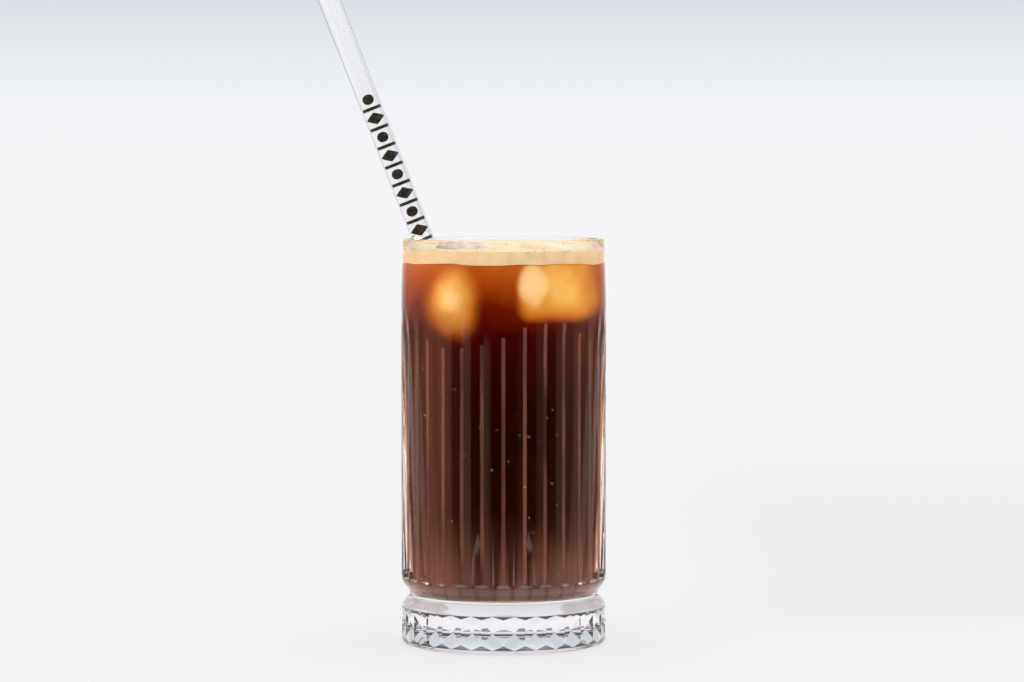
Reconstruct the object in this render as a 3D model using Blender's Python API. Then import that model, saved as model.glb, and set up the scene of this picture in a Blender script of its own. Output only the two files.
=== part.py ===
"""Iced coffee in a tall pressed glass, with crema, two ice cubes and a glass drinking straw.

The glass stands on the XY plane with its axis on Z, and the front of the drink faces -Y.
Its body is pressed with V-shaped flutes and its foot with a ring of cut leaves, both on one pitch.
"""

import math

import bmesh
import bpy
from mathutils import Vector

MM = 0.001

# The gap that neighbouring pieces keep, so that their faces never meet.
GAP = 0.3 * MM

# Glass, overall.
GLASS_HEIGHT = 150.0 * MM
GLASS_RADIUS = 38.0 * MM
RIM_RADIUS = 37.45 * MM

# Pressed pattern: every flute and every leaf has the same pitch round the glass.
FLUTE_COUNT = 30
COLUMNS_PER_FLUTE = 4
COLUMNS = FLUTE_COUNT * COLUMNS_PER_FLUTE
FRONT_ANGLE = -math.pi / 2
FLUTE_DEPTH = 0.95 * MM
FLUTE_FOOT_Z = 23.9 * MM
FLUTE_RUN_IN = 4.5 * MM
FLUTE_FADE_Z = 111.0 * MM
FLUTE_HEAD_Z = 126.0 * MM
FLUTE_END_STEPS = 4

# Foot: a rounded lower edge, a band of leaves, and a waist above it.
FOOT_CONTACT_RADIUS = 36.0 * MM
BAND_LOW_Z = 1.6 * MM
BAND_HIGH_Z = 13.9 * MM
LEAF_TOP_SHOULDER = 1.6 * MM
LEAF_BOTTOM_SHOULDER = 1.9 * MM
LEAF_DEPTH = 1.3 * MM
WAIST_RADIUS = 35.2 * MM
WAIST_Z = 18.7 * MM
WAIST_STEPS = 4

# Cavity of the glass.
LIP_ROUND = 1.0 * MM
CAVITY_TOP_RADIUS = 35.45 * MM
CAVITY_LOW_RADIUS = 30.8 * MM
CAVITY_FLOOR_Z = 17.0 * MM
CAVITY_CORNER = 8.0 * MM
CORNER_STEPS = 4

# Drink.
COFFEE_TOP_Z = 141.0 * MM
FOAM_TOP_Z = 145.6 * MM

# Ice cubes, as they come from a tray: edges rounded, and narrower at one end.
ICE_ROUNDING_SHARE = 0.24
ICE_TAPER = 0.07
LEFT_ICE_SIZE = (18.0 * MM, 18.0 * MM, 26.0 * MM)
LEFT_ICE_CENTRE = (-15.0 * MM, -13.0 * MM, 134.8 * MM)
LEFT_ICE_TURN = (math.radians(5), math.radians(7), math.radians(42))
RIGHT_ICE_SIZE = (21.0 * MM, 20.0 * MM, 25.0 * MM)
RIGHT_ICE_CENTRE = (15.8 * MM, -12.0 * MM, 134.6 * MM)
RIGHT_ICE_TURN = (math.radians(-6), math.radians(7), math.radians(-14))

# Drinking straw: a glass tube that stands on the floor of the cavity and leans on the rim.
STRAW_RADIUS = 4.0 * MM
STRAW_BORE_RADIUS = 2.8 * MM
STRAW_LENGTH = 250.0 * MM
STRAW_END_ROUND = 0.3 * MM
STRAW_SIDES = 20
STRAW_FOOT = (21.2 * MM, 12.0 * MM, 18.9 * MM)
STRAW_AT_RIM = (-30.1 * MM, 7.4 * MM, GLASS_HEIGHT)


def clear_scene():
    for item in list(bpy.data.objects):
        bpy.data.objects.remove(item, do_unlink=True)


def make_material(name, colour, roughness, metallic=0.0, transmission=0.0, ior=1.5):
    material = bpy.data.materials.new(name)
    material.use_nodes = True
    shader = material.node_tree.nodes["Principled BSDF"]
    shader.inputs["Base Color"].default_value = (*colour, 1.0)
    shader.inputs["Roughness"].default_value = roughness
    shader.inputs["Metallic"].default_value = metallic
    shader.inputs["Transmission Weight"].default_value = transmission
    shader.inputs["IOR"].default_value = ior
    material.diffuse_color = (*colour, 1.0)
    return material


def add_object(name, build, material=None, smooth_angle=None):
    """Make one object from a bmesh that is closed, and turn its faces outwards."""
    bmesh.ops.recalc_face_normals(build, faces=build.faces[:])
    mesh = bpy.data.meshes.new(name)
    build.to_mesh(mesh)
    build.free()
    if smooth_angle is not None:
        mesh.shade_smooth()
        mesh.set_sharp_from_angle(angle=smooth_angle)
    if material is not None:
        mesh.materials.append(material)
    item = bpy.data.objects.new(name, mesh)
    bpy.context.scene.collection.objects.link(item)
    return item


def ease(share):
    """Smooth step from 0 to 1."""
    share = min(max(share, 0.0), 1.0)
    return share * share * (3.0 - 2.0 * share)


def column_angle(column):
    """Columns 0, 4, 8 ... run up the ridges, and the middle of one flute faces the front."""
    return FRONT_ANGLE + (column - COLUMNS_PER_FLUTE / 2) * 2.0 * math.pi / COLUMNS


def hollow_share(column):
    """How deep a column lies in its flute: 0 on the ridge, 1 in the middle."""
    return 1.0 - abs((column % COLUMNS_PER_FLUTE) / COLUMNS_PER_FLUTE * 2.0 - 1.0)


def flute_depth(z):
    """The flutes are scooped in at their foot and run out slowly below the plain collar."""
    run_in = ease((z - FLUTE_FOOT_Z) / FLUTE_RUN_IN)
    run_out = 1.0 - ease((z - FLUTE_FADE_Z) / (FLUTE_HEAD_Z - FLUTE_FADE_Z))
    return FLUTE_DEPTH * run_in * run_out


def cavity_radius(z):
    """The plunger that forms the cavity tapers evenly from the lip to the corner of the floor."""
    low_z = CAVITY_FLOOR_Z + CAVITY_CORNER
    high_z = GLASS_HEIGHT - LIP_ROUND
    share = (z - low_z) / (high_z - low_z)
    return CAVITY_LOW_RADIUS + (CAVITY_TOP_RADIUS - CAVITY_LOW_RADIUS) * share


def ring(build, radius, z, step=1, depth=0.0):
    """One ring of vertices; step 2 leaves out every other column."""
    verts = []
    for column in range(0, COLUMNS, step):
        reach = radius - depth * hollow_share(column)
        angle = column_angle(column)
        verts.append(build.verts.new((reach * math.cos(angle), reach * math.sin(angle), z)))
    return verts


def join_rings(build, lower, upper):
    count = len(lower)
    for i in range(count):
        after = (i + 1) % count
        build.faces.new((lower[i], lower[after], upper[after], upper[i]))


def join_fine_to_coarse(build, fine, coarse):
    count = len(coarse)
    for i in range(count):
        after = (i + 1) % count
        start = fine[2 * i]
        middle = fine[2 * i + 1]
        end = fine[(2 * i + 2) % len(fine)]
        build.faces.new((start, middle, coarse[i]))
        build.faces.new((middle, coarse[after], coarse[i]))
        build.faces.new((middle, end, coarse[after]))


def join_chain(build, rings):
    for lower, upper in zip(rings, rings[1:]):
        join_rings(build, lower, upper)


def close_with_point(build, verts, z):
    centre = build.verts.new((0.0, 0.0, z))
    for i in range(len(verts)):
        build.faces.new((verts[i], verts[(i + 1) % len(verts)], centre))


def add_leaf_band(build, low_ring, high_ring):
    """The foot's cut band: pointed six-sided leaves between upright ridges.

    A leaf lies under each flute ridge, its points on the band's two edges. What stays uncut is a
    low triangle on each edge, under the middle of each flute.
    """
    half = COLUMNS_PER_FLUTE // 2
    ridge_low = []
    ridge_high = []
    for flute in range(FLUTE_COUNT):
        angle = column_angle(flute * COLUMNS_PER_FLUTE + half)
        across = (GLASS_RADIUS * math.cos(angle), GLASS_RADIUS * math.sin(angle))
        ridge_low.append(build.verts.new((*across, BAND_LOW_Z + LEAF_BOTTOM_SHOULDER)))
        ridge_high.append(build.verts.new((*across, BAND_HIGH_Z - LEAF_TOP_SHOULDER)))
    for flute in range(FLUTE_COUNT):
        first = flute * COLUMNS_PER_FLUTE
        for column in range(first, first + COLUMNS_PER_FLUTE):
            after = (column + 1) % COLUMNS
            build.faces.new((low_ring[column], low_ring[after], ridge_low[flute]))
            build.faces.new((high_ring[after], high_ring[column], ridge_high[flute]))
        angle = column_angle(first)
        reach = GLASS_RADIUS - LEAF_DEPTH
        heart_z = (BAND_LOW_Z + BAND_HIGH_Z) / 2
        heart = build.verts.new((reach * math.cos(angle), reach * math.sin(angle), heart_z))
        outline = (
            low_ring[first],
            ridge_low[flute],
            ridge_high[flute],
            high_ring[first],
            ridge_high[flute - 1],
            ridge_low[flute - 1],
        )
        for i, vert in enumerate(outline):
            build.faces.new((vert, outline[(i + 1) % len(outline)], heart))


def waist_rings(build):
    """From the top of the leaf band in to the waist and out again to the foot of the flutes."""
    rings = []
    for start_z, end_z, outwards in (
        (BAND_HIGH_Z, WAIST_Z, False),
        (WAIST_Z, FLUTE_FOOT_Z, True),
    ):
        for i in range(1, WAIST_STEPS + 1):
            share = i / WAIST_STEPS
            reach = ease(share) if outwards else 1.0 - ease(share)
            radius = WAIST_RADIUS + (GLASS_RADIUS - WAIST_RADIUS) * reach
            rings.append(ring(build, radius, start_z + (end_z - start_z) * share))
    return rings


def flute_rings(build):
    """From the foot of the flutes to the plain collar, with rings close together at both ends."""
    heights = []
    for i in range(1, FLUTE_END_STEPS + 1):
        heights.append(FLUTE_FOOT_Z + FLUTE_RUN_IN * i / FLUTE_END_STEPS)
    for i in range(FLUTE_END_STEPS + 1):
        heights.append(FLUTE_FADE_Z + (FLUTE_HEAD_Z - FLUTE_FADE_Z) * i / FLUTE_END_STEPS)
    return [ring(build, GLASS_RADIUS, z, depth=flute_depth(z)) for z in heights]


def make_glass(material):
    build = bmesh.new()
    underside = ring(build, FOOT_CONTACT_RADIUS, 0.0)
    close_with_point(build, underside, 0.0)
    edge = [underside]
    edge_run = GLASS_RADIUS - FOOT_CONTACT_RADIUS
    for turn in (math.radians(35), math.radians(65), math.radians(90)):
        radius = FOOT_CONTACT_RADIUS + edge_run * math.sin(turn)
        edge.append(ring(build, radius, BAND_LOW_Z * (1.0 - math.cos(turn))))
    join_chain(build, edge)

    band_top = ring(build, GLASS_RADIUS, BAND_HIGH_Z)
    add_leaf_band(build, edge[-1], band_top)

    body = [band_top, *waist_rings(build), *flute_rings(build)]
    lip_z = GLASS_HEIGHT - LIP_ROUND
    lip_middle = (RIM_RADIUS + CAVITY_TOP_RADIUS) / 2
    lip_half = (RIM_RADIUS - CAVITY_TOP_RADIUS) / 2
    for turn in (0, 30, 60, 90):
        radius = lip_middle + lip_half * math.cos(math.radians(turn))
        body.append(ring(build, radius, lip_z + LIP_ROUND * math.sin(math.radians(turn))))
    join_chain(build, body)

    inside = []
    for turn in (120, 150, 180):
        radius = lip_middle + lip_half * math.cos(math.radians(turn))
        z = lip_z + LIP_ROUND * math.sin(math.radians(turn))
        inside.append(ring(build, radius, z, step=2))
    join_fine_to_coarse(build, body[-1], inside[0])
    inside += cavity_corner(build, 0.0)
    join_chain(build, inside)
    close_with_point(build, inside[-1], CAVITY_FLOOR_Z)
    return add_object("glass", build, material, math.radians(24))


def cavity_corner(build, inset):
    """Rings down the rounded corner of the cavity, or of the drink that fills it, kept inset."""
    centre_radius = CAVITY_LOW_RADIUS - CAVITY_CORNER
    centre_z = CAVITY_FLOOR_Z + CAVITY_CORNER
    reach = CAVITY_CORNER - inset
    rings = []
    for i in range(CORNER_STEPS + 1):
        turn = i / CORNER_STEPS * math.pi / 2
        radius = centre_radius + reach * math.cos(turn)
        rings.append(ring(build, radius, centre_z - reach * math.sin(turn), step=2))
    return rings


def make_coffee(material):
    build = bmesh.new()
    top_z = COFFEE_TOP_Z - GAP / 2
    surface = ring(build, cavity_radius(top_z) - GAP, top_z, step=2)
    close_with_point(build, surface, top_z)
    rings = [surface, *cavity_corner(build, GAP)]
    join_chain(build, rings)
    close_with_point(build, rings[-1], CAVITY_FLOOR_Z + GAP)
    return add_object("coffee", build, material, math.radians(40))


def make_foam(material):
    build = bmesh.new()
    low_z = COFFEE_TOP_Z + GAP / 2
    low = ring(build, cavity_radius(low_z) - GAP, low_z, step=2)
    high = ring(build, cavity_radius(FOAM_TOP_Z) - GAP, FOAM_TOP_Z, step=2)
    close_with_point(build, low, low_z)
    close_with_point(build, high, FOAM_TOP_Z)
    join_rings(build, low, high)
    return add_object("foam", build, material, math.radians(40))


def make_ice(name, size, centre, turn, material=None, grow=0.0):
    """A tray-made block with rounded edges that narrows towards its lower end."""
    build = bmesh.new()
    sides = [side + 2.0 * grow for side in size]
    bmesh.ops.create_cube(build, size=1.0)
    bmesh.ops.scale(build, vec=sides, verts=build.verts)
    bmesh.ops.bevel(
        build,
        geom=build.edges[:] + build.verts[:],
        offset=sides[0] * ICE_ROUNDING_SHARE,
        segments=3,
        profile=0.5,
        affect="EDGES",
    )
    for vert in build.verts:
        narrowing = 1.0 + ICE_TAPER * vert.co.z / sides[2]
        vert.co.x *= narrowing
        vert.co.y *= narrowing
    item = add_object(name, build, material, math.radians(50))
    item.location = centre
    item.rotation_euler = turn
    return item


def place_on_straw_axis(item):
    foot = Vector(STRAW_FOOT)
    item.location = foot
    item.rotation_mode = "QUATERNION"
    item.rotation_quaternion = (Vector(STRAW_AT_RIM) - foot).to_track_quat("Z", "Y")


def make_straw(material):
    """A tube whose two ends are fire-polished to a small round."""
    build = bmesh.new()
    outline = (
        (STRAW_BORE_RADIUS, STRAW_END_ROUND),
        (STRAW_BORE_RADIUS + STRAW_END_ROUND, 0.0),
        (STRAW_RADIUS - STRAW_END_ROUND, 0.0),
        (STRAW_RADIUS, STRAW_END_ROUND),
        (STRAW_RADIUS, STRAW_LENGTH - STRAW_END_ROUND),
        (STRAW_RADIUS - STRAW_END_ROUND, STRAW_LENGTH),
        (STRAW_BORE_RADIUS + STRAW_END_ROUND, STRAW_LENGTH),
        (STRAW_BORE_RADIUS, STRAW_LENGTH - STRAW_END_ROUND),
    )
    rings = []
    for radius, z in outline:
        verts = []
        for i in range(STRAW_SIDES):
            angle = 2.0 * math.pi * i / STRAW_SIDES
            verts.append(build.verts.new((radius * math.cos(angle), radius * math.sin(angle), z)))
        rings.append(verts)
    join_chain(build, rings + rings[:1])
    item = add_object("straw", build, material, math.radians(50))
    place_on_straw_axis(item)
    return item


def make_straw_cutter():
    """A solid rod one gap wider than the straw, which reaches past the drink at both ends."""
    build = bmesh.new()
    radius = (STRAW_RADIUS + GAP) / math.cos(math.pi / STRAW_SIDES)
    bmesh.ops.create_cone(
        build,
        cap_ends=True,
        segments=STRAW_SIDES,
        radius1=radius,
        radius2=radius,
        depth=2.0 * STRAW_LENGTH,
    )
    item = add_object("straw_cutter", build)
    place_on_straw_axis(item)
    return item


def hide_cutter(item):
    item.hide_render = True
    item.display_type = "WIRE"


def cut(item, cutters):
    for cutter in cutters:
        hide_cutter(cutter)
        boolean = item.modifiers.new("cut_round_" + cutter.name, "BOOLEAN")
        boolean.operation = "DIFFERENCE"
        boolean.solver = "EXACT"
        boolean.object = cutter


def main():
    clear_scene()
    clear_glass = make_material("clear_glass", (0.96, 0.97, 0.98), 0.03, transmission=1.0, ior=1.5)
    coffee_brown = make_material("coffee_brown", (0.09, 0.022, 0.006), 0.12)
    crema = make_material("crema", (0.86, 0.66, 0.42), 0.55)
    wet_ice = make_material("wet_ice", (0.90, 0.87, 0.82), 0.10, transmission=0.7, ior=1.31)
    straw_glass = make_material("straw_glass", (0.95, 0.96, 0.97), 0.04, transmission=1.0, ior=1.5)

    make_glass(clear_glass)
    coffee = make_coffee(coffee_brown)
    foam = make_foam(crema)
    make_ice("ice_left", LEFT_ICE_SIZE, LEFT_ICE_CENTRE, LEFT_ICE_TURN, wet_ice)
    make_ice("ice_right", RIGHT_ICE_SIZE, RIGHT_ICE_CENTRE, RIGHT_ICE_TURN, wet_ice)
    make_straw(straw_glass)

    cutters = (
        make_straw_cutter(),
        make_ice("ice_left_cutter", LEFT_ICE_SIZE, LEFT_ICE_CENTRE, LEFT_ICE_TURN, grow=GAP),
        make_ice("ice_right_cutter", RIGHT_ICE_SIZE, RIGHT_ICE_CENTRE, RIGHT_ICE_TURN, grow=GAP),
    )
    cut(coffee, cutters)
    cut(foam, cutters)


main()
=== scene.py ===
import math

import bmesh
import bpy
from mathutils import Euler, Matrix, Vector


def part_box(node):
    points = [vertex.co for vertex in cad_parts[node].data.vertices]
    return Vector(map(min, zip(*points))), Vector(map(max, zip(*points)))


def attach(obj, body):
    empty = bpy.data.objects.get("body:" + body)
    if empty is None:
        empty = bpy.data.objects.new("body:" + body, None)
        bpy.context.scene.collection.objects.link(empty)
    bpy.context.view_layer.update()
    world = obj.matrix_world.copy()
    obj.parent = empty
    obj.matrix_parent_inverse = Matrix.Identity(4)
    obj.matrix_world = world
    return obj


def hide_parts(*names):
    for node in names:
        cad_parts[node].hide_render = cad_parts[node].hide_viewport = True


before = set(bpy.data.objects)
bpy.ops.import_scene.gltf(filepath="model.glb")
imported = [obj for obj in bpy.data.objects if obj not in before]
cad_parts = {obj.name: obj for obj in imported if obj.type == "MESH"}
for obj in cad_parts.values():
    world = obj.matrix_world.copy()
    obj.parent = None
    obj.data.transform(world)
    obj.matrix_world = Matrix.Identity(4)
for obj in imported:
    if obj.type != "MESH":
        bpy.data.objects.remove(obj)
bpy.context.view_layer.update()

MM = 0.001


# Glass.
# A highball of soda-lime glass, pressed in a mould of equal segments and fire-polished. Each segment has
# one V-shaped flute and, on the foot, the halves of two leaves. The plunger leaves a smooth round cavity
# under a thin lip. The wetted wall has its own finish. Flute bottoms, facets and shoulder are tints of the
# same glass with light and shade painted in.
GLASS_LOW, GLASS_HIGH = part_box("glass")
GLASS_HEIGHT = GLASS_HIGH.z
GLASS_RADIUS = GLASS_HIGH.x
RIM_RADIUS = 37.45 * MM
FLUTE_COUNT = 30
FLUTE_DEPTH = 0.95 * MM
FLUTE_FOOT_Z = 23.9 * MM
FLUTE_RUN_IN = 1.6 * MM
FLUTE_FADE_Z = 111.0 * MM
FLUTE_HEAD_Z = 126.0 * MM
RIDGE_ROUND_FROM = 0.93
GROOVE_ROUND = 0.16
FOOT_CONTACT_RADIUS = 36.0 * MM
BAND_LOW_Z = 1.6 * MM
BAND_HIGH_Z = 13.9 * MM
LEAF_TOP_SHOULDER = 1.4 * MM
LEAF_BOTTOM_SHOULDER = 1.9 * MM
LEAF_DEPTH = 1.3 * MM
LEAF_TIP_DEPTH = 0.1 * MM
GROOVE_SHARE = 0.18
GROOVE_TOP_RISE = 4.0 * MM
GROOVE_TOP_SPREAD = 5.0 * MM
WAIST_RADIUS = 35.2 * MM
WAIST_Z = 18.7 * MM
LIP_ROUND = 1.0 * MM
CAVITY_TOP_RADIUS = 35.45 * MM
CAVITY_LOW_RADIUS = 30.8 * MM
CAVITY_FLOOR_Z = 17.0 * MM
CAVITY_CORNER = 8.0 * MM
DRINK_TOP_Z = 145.6 * MM
CELL_COLUMNS = 16
CELL_CROWDING = 0.45
FACET_EDGE_ROUND = 0.12 * MM


def ease(share):
    """Smooth step from 0 to 1."""
    share = min(max(share, 0.0), 1.0)
    return share * share * (3.0 - 2.0 * share)


def between(start, end, steps):
    """Evenly spaced numbers after start, up to and with end."""
    return [start + (end - start) * i / steps for i in range(1, steps + 1)]


def cavity_radius(z):
    low_z = CAVITY_FLOOR_Z + CAVITY_CORNER
    high_z = GLASS_HEIGHT - LIP_ROUND
    return CAVITY_LOW_RADIUS + (CAVITY_TOP_RADIUS - CAVITY_LOW_RADIUS) * (z - low_z) / (high_z - low_z)


def flute_depth(z):
    run_in = ease((z - FLUTE_FOOT_Z) / FLUTE_RUN_IN)
    run_out = 1.0 - ease((z - FLUTE_FADE_Z) / (FLUTE_HEAD_Z - FLUTE_FADE_Z))
    return FLUTE_DEPTH * run_in * run_out


def flute_section(across):
    """Share of the depth across the flute: nearly 1 in its rounded middle, near 0 on the rounded ridges."""
    reach = abs(across)
    if reach < GROOVE_ROUND:
        return 1.0 - GROOVE_ROUND + (GROOVE_ROUND * GROOVE_ROUND - reach * reach) / (2.0 * GROOVE_ROUND)
    if reach > RIDGE_ROUND_FROM:
        past = reach - RIDGE_ROUND_FROM
        flat = 1.0 - RIDGE_ROUND_FROM
        return flat - past + past * past / (2.0 * flat)
    return 1.0 - reach


def glass_profile_above_band():
    """Rings from the top of the leaf band, over the lip and down to the floor of the cavity."""
    rings = []
    for z in between(BAND_HIGH_Z, WAIST_Z, 8):
        reach = 1.0 - ease((z - BAND_HIGH_Z) / (WAIST_Z - BAND_HIGH_Z))
        rings.append((WAIST_RADIUS + (GLASS_RADIUS - WAIST_RADIUS) * reach, z, 0.0))
    for z in between(WAIST_Z, FLUTE_FOOT_Z, 8):
        reach = ease((z - WAIST_Z) / (FLUTE_FOOT_Z - WAIST_Z))
        rings.append((WAIST_RADIUS + (GLASS_RADIUS - WAIST_RADIUS) * reach, z, 0.0))
    heights = between(FLUTE_FOOT_Z, FLUTE_FOOT_Z + FLUTE_RUN_IN, 8)
    heights += between(heights[-1], FLUTE_FADE_Z, 6)
    heights += between(FLUTE_FADE_Z, FLUTE_HEAD_Z, 12)
    rings += [(GLASS_RADIUS, z, flute_depth(z)) for z in heights]
    lip_z = GLASS_HEIGHT - LIP_ROUND
    for z in between(FLUTE_HEAD_Z, lip_z, 4):
        share = ease((z - FLUTE_HEAD_Z) / (lip_z - FLUTE_HEAD_Z))
        rings.append((GLASS_RADIUS + (RIM_RADIUS - GLASS_RADIUS) * share, z, 0.0))
    lip_middle = (RIM_RADIUS + CAVITY_TOP_RADIUS) / 2
    lip_half = (RIM_RADIUS - CAVITY_TOP_RADIUS) / 2
    for turn in between(0.0, math.pi, 12):
        rings.append((lip_middle + lip_half * math.cos(turn), lip_z + LIP_ROUND * math.sin(turn), 0.0))
    for z in between(lip_z, CAVITY_FLOOR_Z + CAVITY_CORNER, 10):
        rings.append((cavity_radius(z), z, 0.0))
    for turn in between(0.0, math.pi / 2, 10):
        radius = CAVITY_LOW_RADIUS - CAVITY_CORNER * (1.0 - math.cos(turn))
        rings.append((radius, CAVITY_FLOOR_Z + CAVITY_CORNER * (1.0 - math.sin(turn)), 0.0))
    return rings


def pressed_segment():
    """One segment of the mould, from ridge to ridge, with its flute's middle on +X."""
    build = bmesh.new()
    half_pitch = math.pi / FLUTE_COUNT
    steps = [2.0 * i / CELL_COLUMNS - 1.0 for i in range(CELL_COLUMNS + 1)]
    places = [step * (1.0 + CELL_CROWDING - CELL_CROWDING * step * step) for step in steps]

    def point(radius, place, z):
        angle = place * half_pitch
        return build.verts.new((radius * math.cos(angle), radius * math.sin(angle), z))

    def row(radius, z, depth=0.0):
        return [point(radius - depth * flute_section(place), place, z) for place in places]

    def join(lower, upper):
        for i in range(CELL_COLUMNS):
            build.faces.new((lower[i], lower[i + 1], upper[i + 1], upper[i]))

    def close(verts, z):
        centre = build.verts.new((0.0, 0.0, z))
        for i in range(CELL_COLUMNS):
            build.faces.new((verts[i], verts[i + 1], centre))

    lower = row(FOOT_CONTACT_RADIUS, 0.0)
    close(lower, 0.0)
    for turn in between(0.0, math.pi / 2, 6):
        radius = FOOT_CONTACT_RADIUS + (GLASS_RADIUS - FOOT_CONTACT_RADIUS) * math.sin(turn)
        upper = row(radius, BAND_LOW_Z * (1.0 - math.cos(turn)))
        join(lower, upper)
        lower = upper

    band_top = row(GLASS_RADIUS, BAND_HIGH_Z)
    ridge_low = point(GLASS_RADIUS, 0.0, BAND_LOW_Z + LEAF_BOTTOM_SHOULDER)
    ridge_high = point(GLASS_RADIUS - LEAF_TIP_DEPTH, 0.0, BAND_HIGH_Z - LEAF_TOP_SHOULDER)
    for i in range(CELL_COLUMNS):
        build.faces.new((lower[i], lower[i + 1], ridge_low))
        build.faces.new((band_top[i + 1], band_top[i], ridge_high))
    for side, end in ((-1.0, 0), (1.0, CELL_COLUMNS)):
        heart = point(GLASS_RADIUS - LEAF_DEPTH, side, (BAND_LOW_Z + BAND_HIGH_Z) / 2)
        build.faces.new((lower[end], ridge_low, heart))
        build.faces.new((ridge_low, ridge_high, heart))
        build.faces.new((ridge_high, band_top[end], heart))

    lower = band_top
    for radius, z, depth in glass_profile_above_band():
        upper = row(radius, z, depth)
        join(lower, upper)
        lower = upper
    close(lower, CAVITY_FLOOR_Z)
    return build


def new_object(name, mesh):
    item = bpy.data.objects.new(name, mesh)
    bpy.context.scene.collection.objects.link(item)
    return item


def object_from(build, name):
    mesh = bpy.data.meshes.new(name)
    build.to_mesh(mesh)
    build.free()
    return new_object(name, mesh)


def smooth(mesh, degrees):
    mesh.shade_smooth()
    mesh.set_sharp_from_angle(angle=math.radians(degrees))


def geometry_tree(name, inputs):
    """A geometry node tree with named inputs of these kinds, its group input and its group output."""
    tree = bpy.data.node_groups.new(name, "GeometryNodeTree")
    tree.is_modifier = True
    tree.interface.new_socket("Geometry", in_out="INPUT", socket_type="NodeSocketGeometry")
    for label, kind in inputs.items():
        tree.interface.new_socket(label, in_out="INPUT", socket_type="NodeSocket" + kind)
    tree.interface.new_socket("Geometry", in_out="OUTPUT", socket_type="NodeSocketGeometry")
    return tree, tree.nodes.new("NodeGroupInput"), tree.nodes.new("NodeGroupOutput")


def run_tree(item, tree, values, name):
    """Runs the tree on an object with these values and returns the result as a new plain object."""
    modifier = item.modifiers.new(tree.name, "NODES")
    modifier.node_group = tree
    for socket in tree.interface.items_tree:
        if socket.item_type == "SOCKET" and socket.in_out == "INPUT" and socket.name in values:
            modifier[socket.identifier] = values[socket.name]
    graph = bpy.context.evaluated_depsgraph_get()
    mesh = bpy.data.meshes.new_from_object(item.evaluated_get(graph))
    mesh.name = name
    bpy.data.objects.remove(item)
    return new_object(name, mesh)


def math_node(tree, operation, first, second=None):
    node = tree.nodes.new("ShaderNodeMath")
    node.operation = operation
    for socket, value in zip(node.inputs, (first, second)):
        if value is None:
            continue
        if isinstance(value, (int, float)):
            socket.default_value = value
        else:
            tree.links.new(value, socket)
    return node.outputs[0]


def times(tree, first, second):
    return math_node(tree, "MULTIPLY", first, second)


def plus(tree, first, second):
    return math_node(tree, "ADD", first, second)


def real_copies(tree, points, shape, rotation=None, scale=None):
    """Sets the shape on the points and makes the copies real mesh."""
    copies = tree.nodes.new("GeometryNodeInstanceOnPoints")
    sources = {"Points": points, "Instance": shape, "Rotation": rotation, "Scale": scale}
    for label, source in sources.items():
        if source is not None:
            tree.links.new(source, copies.inputs[label])
    real = tree.nodes.new("GeometryNodeRealizeInstances")
    tree.links.new(copies.outputs[0], real.inputs[0])
    return real.outputs[0]


def hand_out(tree, geometry, given, made):
    """Gives the geometry the tree's material and hands it out."""
    finish = tree.nodes.new("GeometryNodeSetMaterial")
    tree.links.new(geometry, finish.inputs["Geometry"])
    tree.links.new(given.outputs["Material"], finish.inputs["Material"])
    tree.links.new(finish.outputs[0], made.inputs[0])
    return tree


def mould_tree():
    """Repeats one segment round the axis and welds the seams."""
    tree, given, made = geometry_tree(
        "pressed_in_segments",
        {"Segments": "Int", "First Angle": "Float", "Weld Distance": "Float", "Material": "Material"},
    )
    link = tree.links.new
    points = tree.nodes.new("GeometryNodePoints")
    link(given.outputs["Segments"], points.inputs["Count"])
    index = tree.nodes.new("GeometryNodeInputIndex")
    step = math_node(tree, "DIVIDE", 2.0 * math.pi, given.outputs["Segments"])
    turned = times(tree, index.outputs[0], step)
    angle = plus(tree, turned, given.outputs["First Angle"])
    upright = tree.nodes.new("ShaderNodeCombineXYZ")
    link(angle, upright.inputs["Z"])
    rotation = tree.nodes.new("FunctionNodeEulerToRotation")
    link(upright.outputs[0], rotation.inputs[0])
    segments = real_copies(tree, points.outputs[0], given.outputs["Geometry"], rotation.outputs[0])
    weld = tree.nodes.new("GeometryNodeMergeByDistance")
    link(segments, weld.inputs["Geometry"])
    link(given.outputs["Weld Distance"], weld.inputs["Distance"])
    return hand_out(tree, weld.outputs[0], given, made)


def new_material(name):
    material = bpy.data.materials.new(name)
    material.use_nodes = True
    return material, material.node_tree, material.node_tree.nodes["Principled BSDF"]


def unevenness_group():
    """Noise on the piece's own coordinates; the scale counts per metre."""
    tree = bpy.data.node_groups.new("unevenness", "ShaderNodeTree")
    for label, kind in (("Scale", "Float"), ("Detail", "Float"), ("Stretch", "Vector")):
        tree.interface.new_socket(label, in_out="INPUT", socket_type="NodeSocket" + kind)
    tree.interface.new_socket("Height", in_out="OUTPUT", socket_type="NodeSocketFloat")
    given = tree.nodes.new("NodeGroupInput")
    made = tree.nodes.new("NodeGroupOutput")
    coordinates = tree.nodes.new("ShaderNodeTexCoord")
    mapping = tree.nodes.new("ShaderNodeMapping")
    noise = tree.nodes.new("ShaderNodeTexNoise")
    tree.links.new(given.outputs["Stretch"], mapping.inputs["Scale"])
    tree.links.new(coordinates.outputs["Object"], mapping.inputs["Vector"])
    tree.links.new(mapping.outputs["Vector"], noise.inputs["Vector"])
    tree.links.new(given.outputs["Scale"], noise.inputs["Scale"])
    tree.links.new(given.outputs["Detail"], noise.inputs["Detail"])
    tree.links.new(noise.outputs["Fac"], made.inputs["Height"])
    return tree


unevenness = unevenness_group()


def uneven(tree, scale, detail=2.0, stretch=(1.0, 1.0, 1.0)):
    """Places the unevenness group in a material with its own values."""
    node = tree.nodes.new("ShaderNodeGroup")
    node.node_tree = unevenness
    node.inputs["Scale"].default_value = scale
    node.inputs["Detail"].default_value = detail
    node.inputs["Stretch"].default_value = stretch
    return node.outputs["Height"]


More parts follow.
